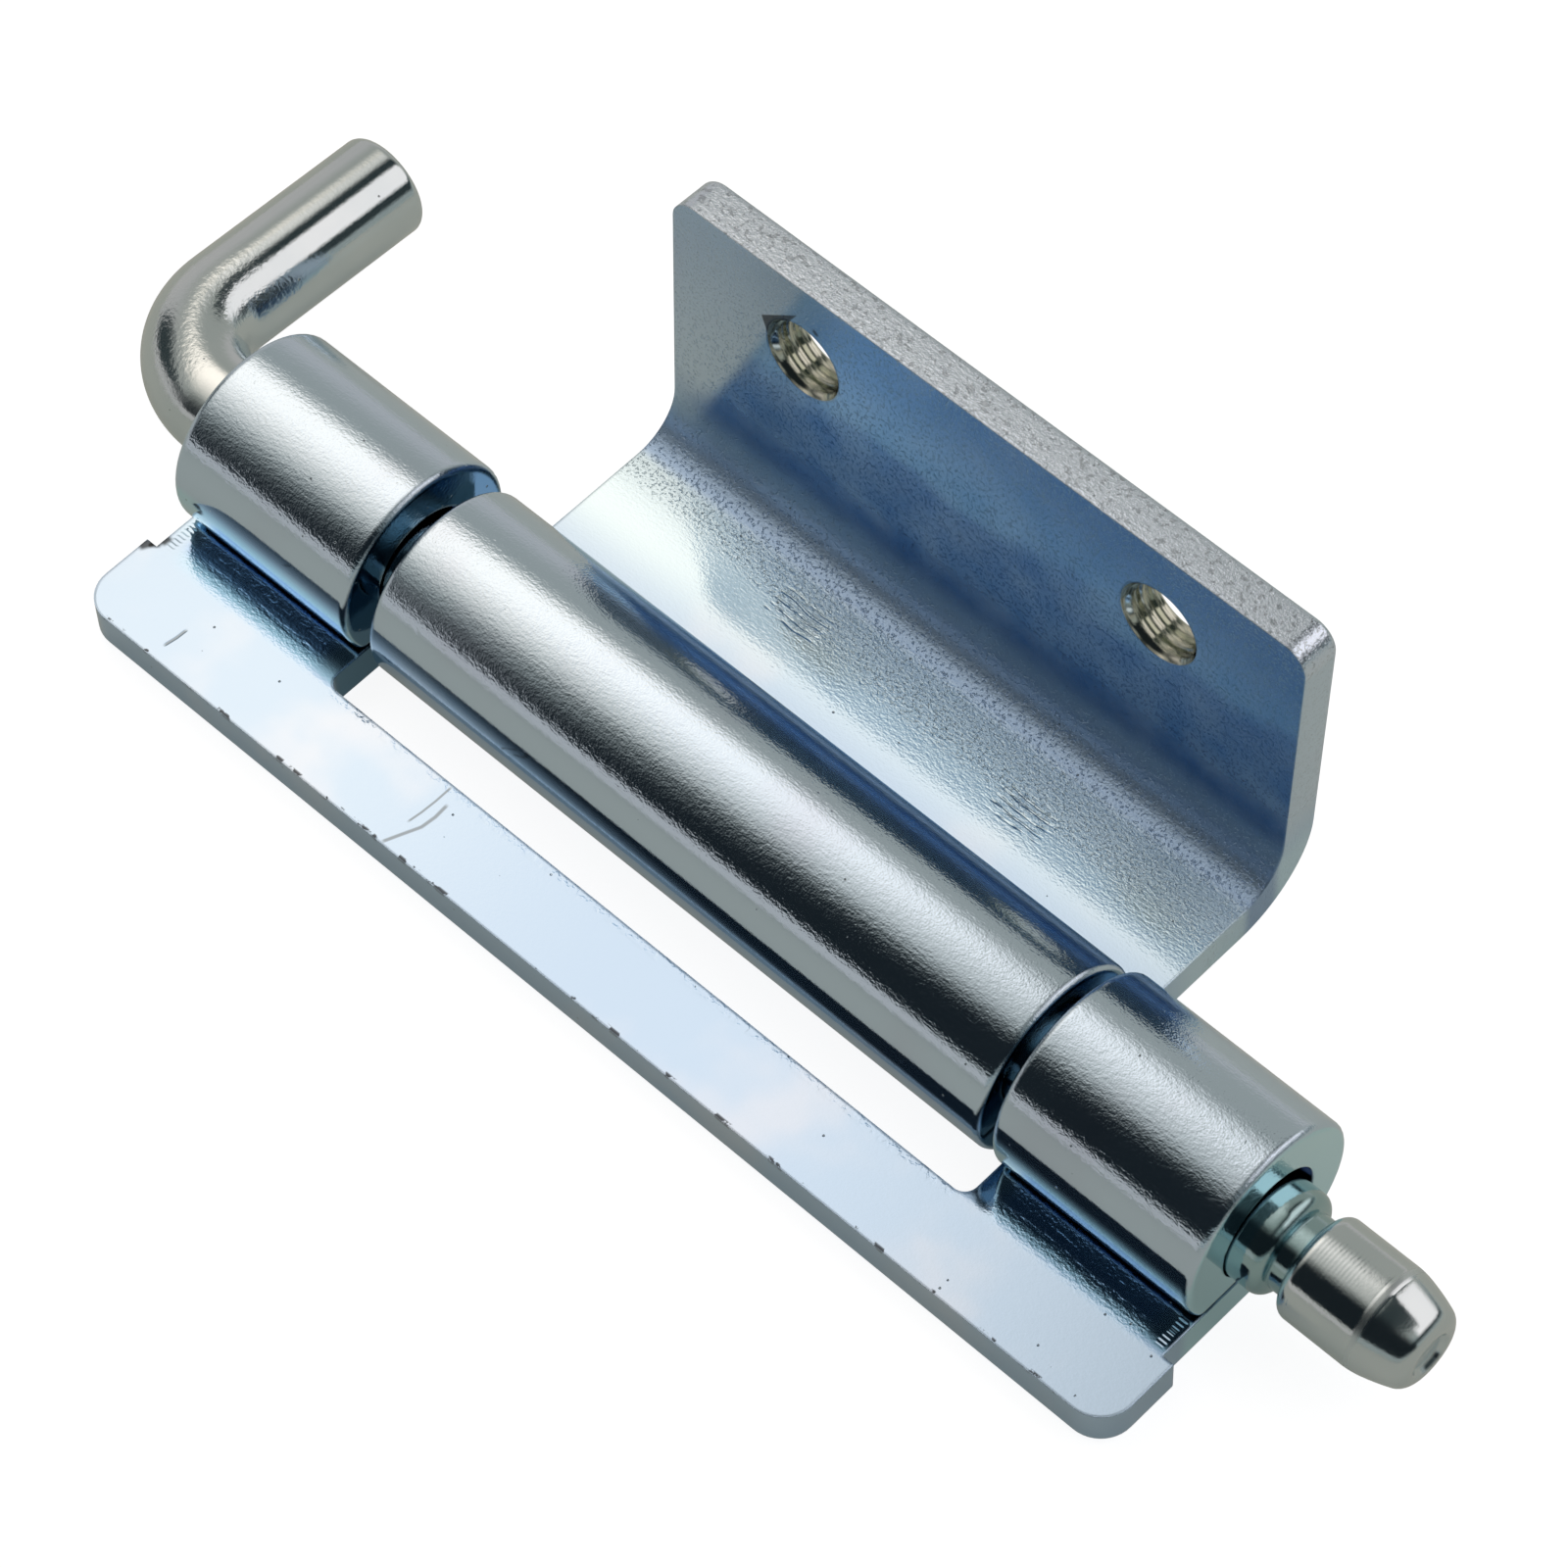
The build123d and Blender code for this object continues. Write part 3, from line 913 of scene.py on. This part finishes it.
def elbow_and_arm(form):
    """The bend and the handle, drawn out of the shank's open end."""
    rim = ring_edges(form, SHANK_START, PIN_RADIUS)
    turned = bmesh.ops.spin(form, geom=rim, cent=(SHANK_START, ELBOW_RADIUS, 0), axis=(0, 0, -1),
                            angle=math.pi / 2, steps=ELBOW_STEPS, use_merge=False)
    rim = [e for e in turned["geom_last"] if isinstance(e, bmesh.types.BMEdge)]
    drawn = bmesh.ops.extrude_edge_only(form, edges=rim)["geom"]
    end = [v for v in drawn if isinstance(v, bmesh.types.BMVert)]
    bmesh.ops.translate(form, verts=end, vec=(0, ARM_LENGTH - ELBOW_RADIUS, 0))
    cut = [e for e in drawn if isinstance(e, bmesh.types.BMEdge)]
    bmesh.ops.contextual_create(form, geom=cut)
    bmesh.ops.bevel(form, geom=cut, offset=ARM_END_BEVEL, segments=ARM_END_SEGMENTS,
                    profile=0.5, affect="EDGES", material=-1)


def bent_pin(form):
    """The whole pin in millimetres about its own axis, then put in its place in metres."""
    turned_shank(form)
    elbow_and_arm(form)
    bmesh.ops.remove_doubles(form, verts=form.verts, dist=PIN_WELD)
    bmesh.ops.recalc_face_normals(form, faces=form.faces)
    place = Matrix.Translation(pin_axis / MM) @ Matrix.Rotation(-ARM_DROOP, 4, "X")
    bmesh.ops.transform(form, matrix=Matrix.Scale(MM, 4) @ place, verts=form.verts)
    smooth_but(form, PIN_SMOOTH)


pin = new_piece("pin", bent_pin, pin_zinc)
weigh = pin.modifiers.new("weigh", "WEIGHTED_NORMAL")
weigh.keep_sharp = True
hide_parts("hinge_pin")
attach(pin, "pin")
print("pin", len(pin.data.polygons), "faces")

# %% [markdown]
# The door leaf keeps the solid's own shape. It is a copy, so that its two holes can be opened
# from the thread's core to its full width, and then get real thread turns: a zigzag outline
# spun round the hole's axis while it climbs by one pitch a turn, and cut off flush with both
# faces of the flange. A bump could fake the turns, but here their edges show against the light.

# %% Thread turns
SHEET = 2.5
THREAD_PITCH = 0.8
THREAD_ROOT = 2.49
THREAD_CREST = 2.1
MOUTH_RADIUS = 2.5
THREAD_STEPS = 64
THREAD_PROFILE = ((0, THREAD_ROOT), (0.15, THREAD_ROOT), (0.38, THREAD_CREST),
                  (0.57, THREAD_CREST))  # along the axis and out from it, for one turn
MOUTH_CUT = 0.4  # the turns are cut here too, so that the mouth has points to move
LEAF_WELD = 1e-3


def along_and_out(point, hole):
    """How far a point in millimetres lies along a hole's axis, and its way out from the axis."""
    axis = Vector(hole["axis"])
    offset = point - Vector(hole["pos_m"]) / MM
    depth = offset.dot(axis)
    return depth, offset - axis * depth


def cut_thread(form, hole):
    """Thread turns in one hole, countersunk at both mouths."""
    axis, middle = Vector(hole["axis"]), Vector(hole["pos_m"]) / MM
    outline, depth = [], -SHEET / 2 - 1.5 * THREAD_PITCH
    while depth < SHEET / 2 + THREAD_PITCH:
        outline += [(depth + step, radius) for step, radius in THREAD_PROFILE]
        depth += THREAD_PITCH
    points = [form.verts.new(middle + axis * d + Vector((r, 0, 0))) for d, r in outline]
    wires = [form.edges.new(pair) for pair in zip(points, points[1:])]
    before = set(form.verts) - set(points)
    bmesh.ops.spin(form, geom=points + wires, cent=middle, axis=axis, angle=2 * math.pi,
                   dvec=axis * (THREAD_PITCH / THREAD_STEPS), steps=THREAD_STEPS, use_merge=False)
    mine = [v for v in form.verts if v not in before]
    bmesh.ops.remove_doubles(form, verts=mine, dist=LEAF_WELD)
    for side in (-1, 1):
        for deep, cut_off in ((MOUTH_CUT, False), (0.0, True)):
            mine = [v for v in form.verts if v not in before]
            parts = set(mine)
            parts |= {e for v in mine for e in v.link_edges}
            parts |= {f for v in mine for f in v.link_faces}
            bmesh.ops.bisect_plane(form, geom=list(parts), dist=1e-5, clear_outer=cut_off,
                                   plane_co=middle + axis * side * (SHEET / 2 - deep),
                                   plane_no=axis * side)
    mine = [v for v in form.verts if v not in before]
    for vert in mine:
        depth, outward = along_and_out(vert.co, hole)
        least = MOUTH_RADIUS - (SHEET / 2 - abs(depth))
        if outward.length < least:
            vert.co += outward * (least / outward.length - 1)
    faces = {f for v in mine for f in v.link_faces}
    wrong = [f for f in faces if f.normal.dot(along_and_out(f.calc_center_median(), hole)[1]) > 0]
    bmesh.ops.reverse_faces(form, faces=wrong)


print("thread turns every", THREAD_PITCH, "mm through", SHEET, "mm of sheet")

# %% [markdown]
# A CAD solid comes as loose triangles, so the copy is merged first. The points of each hole's
# bore are moved outwards to the thread's full width, and flat neighbours are dissolved into
# single faces. Then the turns are put in.

# %% Door leaf
BORE_REACH = THREAD_CREST + 0.1  # the bore's points lie nearer to the axis than this
FLAT_WITHIN = math.radians(0.2)
LEAF_SMOOTH = 25  # degrees


def opened_leaf(form):
    """A copy of the door leaf with its holes opened and threaded."""
    form.from_mesh(frame["nodes"]["door_leaf"].data)
    bmesh.ops.scale(form, vec=(1 / MM, 1 / MM, 1 / MM), verts=form.verts)
    bmesh.ops.remove_doubles(form, verts=form.verts, dist=LEAF_WELD)
    for vert in form.verts:
        for hole in holes:
            depth, outward = along_and_out(vert.co, hole)
            if outward.length < BORE_REACH and abs(depth) < SHEET:
                vert.co += outward * (THREAD_ROOT / outward.length - 1)
    bmesh.ops.dissolve_limit(form, angle_limit=FLAT_WITHIN, verts=form.verts, edges=form.edges)
    for hole in holes:
        cut_thread(form, hole)
    bmesh.ops.scale(form, vec=(MM, MM, MM), verts=form.verts)
    smooth_but(form, LEAF_SMOOTH)


door = new_piece("door", opened_leaf, door_zinc)
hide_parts("door_leaf")
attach(door, "door")
print("door leaf", len(door.data.polygons), "faces with", len(holes), "threads")
